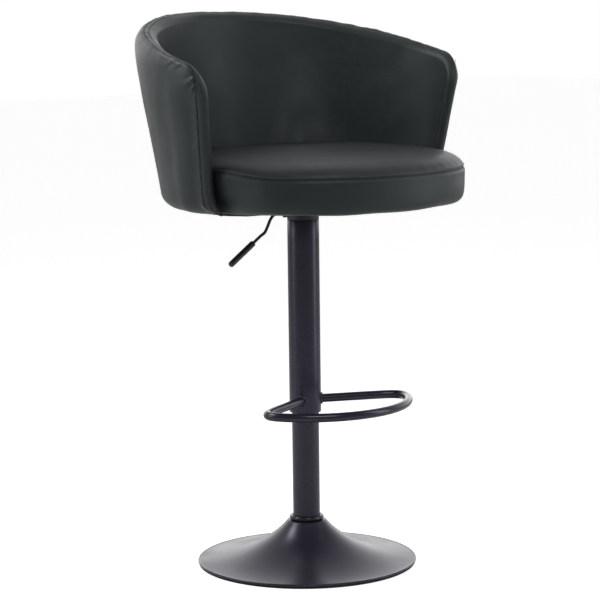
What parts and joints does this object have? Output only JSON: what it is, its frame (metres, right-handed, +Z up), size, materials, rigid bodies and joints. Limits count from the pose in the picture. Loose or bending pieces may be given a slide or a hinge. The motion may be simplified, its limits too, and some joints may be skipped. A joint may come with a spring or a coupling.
{
  "type": "bar stool with footrest",
  "caption": "Height-adjustable swivel bar stool with an upholstered tub seat, a gas-spring column, a footrest hoop and a round trumpet base.",
  "frame": {"origin": "on the floor at the column's axis, which is also the middle of the stool's outline in plan to a few millimetres", "axes": "+Z up along the column; the sitter faces -Y; +X is to the sitter's left"},
  "size_m": [0.6344, 0.6012, 1.0264],
  "materials": {
    "base_coat": "satin",
    "column_coat": "satin",
    "trim_ring": "satin",
    "lever_coat": "satin",
    "cylinder_coat": "satin",
    "black_rubber": "matte",
    "cast_iron": "matte",
    "zinc_steel": "satin",
    "rod_chrome": "polished",
    "black_nylon": "matte",
    "acetal": "satin",
    "grip_plastic": "satin",
    "plywood": "matte",
    "dust_cloth": "matte",
    "leatherette": "satin"
  },
  "bodies": {
    "base": {"base_bell": "base_coat", "base_floor_ring": "black_rubber", "base_hub": "zinc_steel", "base_weight": "cast_iron", "neck_trim_ring": "trim_ring", "stand_tube": "column_coat", "stand_guide_bush": "black_nylon", "stand_floor_plate": "zinc_steel", "thrust_washer_lower": "zinc_steel", "thrust_bearing_cage": "acetal"},
    "lift_rod": {"piston_rod": "rod_chrome", "rod_retaining_clip": "zinc_steel", "thrust_washer_upper": "zinc_steel", "rod_bump_stop": "black_rubber", "gas_piston": "acetal"},
    "seat": {"back_bracket_1": "zinc_steel", "back_bracket_2": "zinc_steel", "back_bracket_3": "zinc_steel", "back_inner_pad": "leatherette", "back_outer_panel": "leatherette", "back_plywood_core": "plywood", "bracket_screw_1": "zinc_steel", "bracket_screw_2": "zinc_steel", "bracket_screw_3": "zinc_steel", "dust_cover": "dust_cloth", "footrest_hoop": "column_coat", "gas_cylinder": "cylinder_coat", "lever_bracket": "column_coat", "lever_pivot_pin": "zinc_steel", "outer_tube": "column_coat", "plate_bolt_1": "zinc_steel", "plate_bolt_2": "zinc_steel", "plate_bolt_3": "zinc_steel", "plate_bolt_4": "zinc_steel", "plate_washer_1": "zinc_steel", "plate_washer_2": "zinc_steel", "plate_washer_3": "zinc_steel", "plate_washer_4": "zinc_steel", "seat_board": "plywood", "seat_cone": "column_coat", "seat_cushion": "leatherette", "seat_plate": "column_coat", "tube_glide_bush": "black_nylon"},
    "lever": {"lever_rod": "lever_coat", "lever_grip": "grip_plastic"},
    "valve_pin": {"release_button": "zinc_steel"}
  },
  "joints": [
    {"name": "seat_swivel", "type": "hinge", "parent": "base", "child": "lift_rod", "pos_m": [0, 0, 0.036], "axis": [0, 0, 1], "continuous": true},
    {"name": "height_slide", "type": "slide", "parent": "lift_rod", "child": "seat", "axis": [0, 0, 1], "range_m": [-0.19, 0]},
    {"name": "lever_pivot", "type": "hinge", "parent": "seat", "child": "lever", "pos_m": [-0.046, -0.015, 0.664], "axis": [0, 1, 0], "range_deg": [0, 6], "stiffness_Nm_per_rad": 1.5, "springref_deg": -5.73},
    {"name": "valve_press", "type": "slide", "parent": "seat", "child": "valve_pin", "axis": [0, 0, 1], "range_m": [-0.0056, 0]}
  ],
  "couplings": [
    {"joint": "valve_press", "follows": "lever_pivot", "m_per_rad": -0.05}
  ]
}
